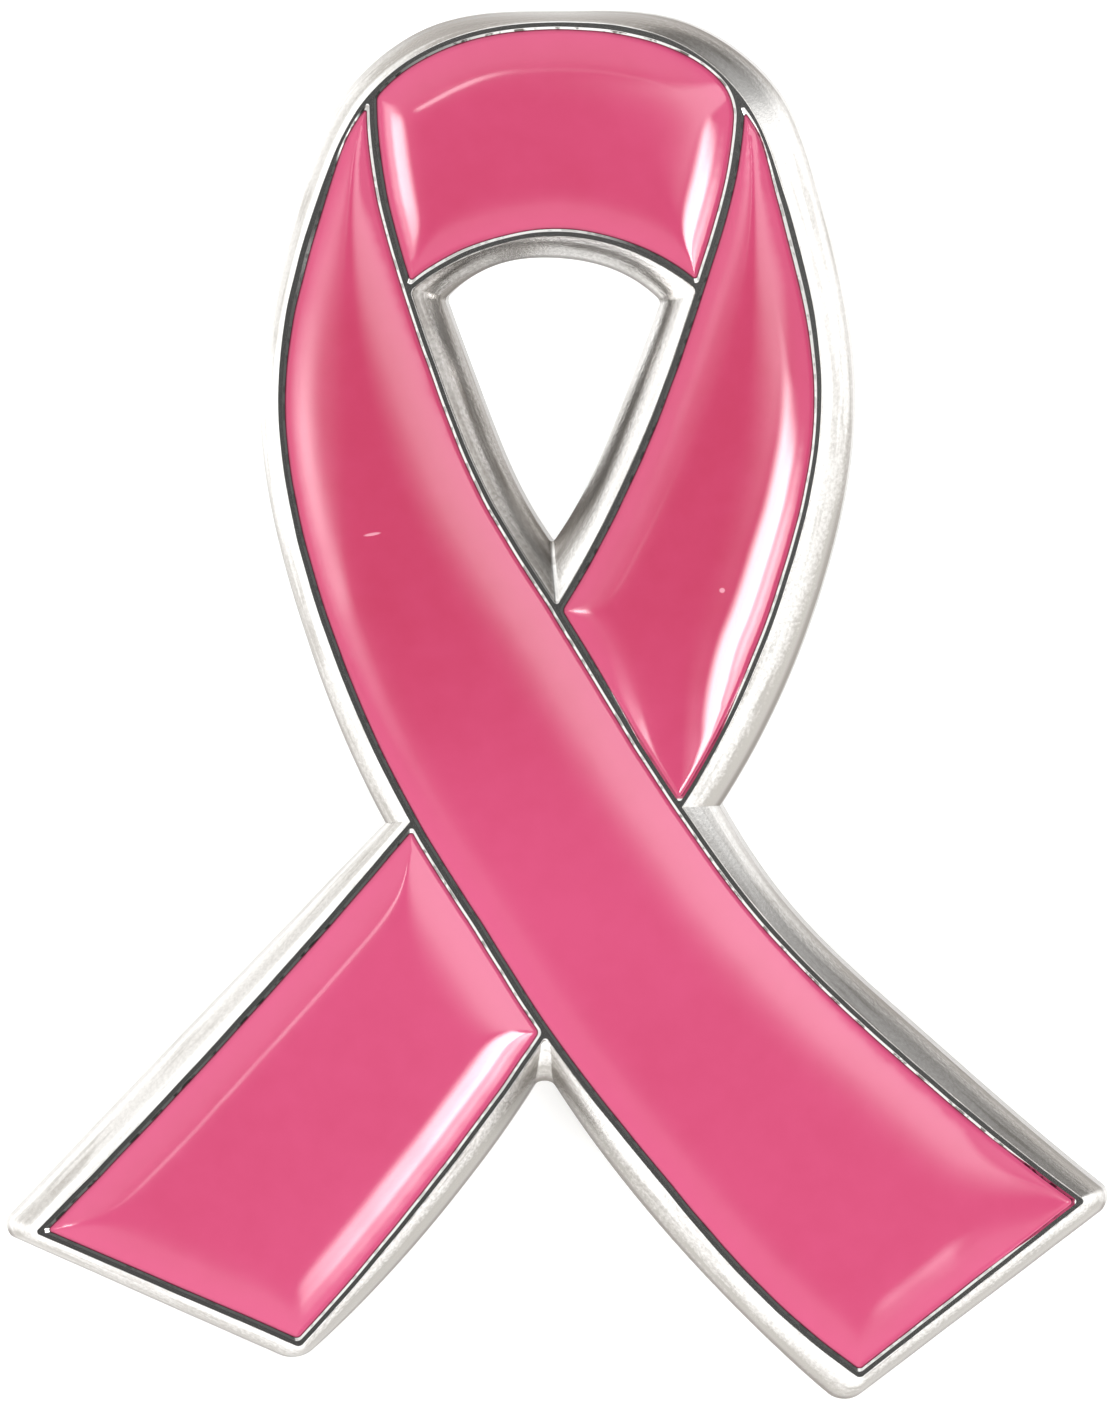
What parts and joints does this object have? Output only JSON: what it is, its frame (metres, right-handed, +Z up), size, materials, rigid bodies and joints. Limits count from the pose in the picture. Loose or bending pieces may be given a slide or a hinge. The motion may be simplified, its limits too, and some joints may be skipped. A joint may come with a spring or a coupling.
{
  "type": "awareness ribbon lapel pin",
  "caption": "Die-cast crossed-ribbon lapel pin with glossy pink enamel cells, a bright plated sloping edge and a plain post soldered to its flat back.",
  "frame": {"origin": "middle of the footprint, on the table that the pin rests on", "axes": "+X across the face towards the right-hand tail, +Y from the tails towards the raised top of the loop, +Z up from the table; the face looks up and towards -Y"},
  "size_m": [0.0204, 0.022, 0.0152],
  "materials": {
    "plating": "bright silver-toned plating over cast zinc, with a faint cast grain on the sloping edge",
    "front_band_enamel": "glossy opaque pink enamel, domed in its cell",
    "loop_enamel": "glossy opaque pink enamel, domed in its cell",
    "rear_band_enamel": "glossy opaque pink enamel, domed in its cell",
    "tail_enamel": "glossy opaque pink enamel, domed in its cell"
  },
  "bodies": {
    "root": {"ribbon_casting": "plating", "front_band_enamel": "front_band_enamel", "loop_enamel": "loop_enamel", "rear_band_enamel": "rear_band_enamel", "tail_enamel": "tail_enamel"}
  },
  "joints": []
}
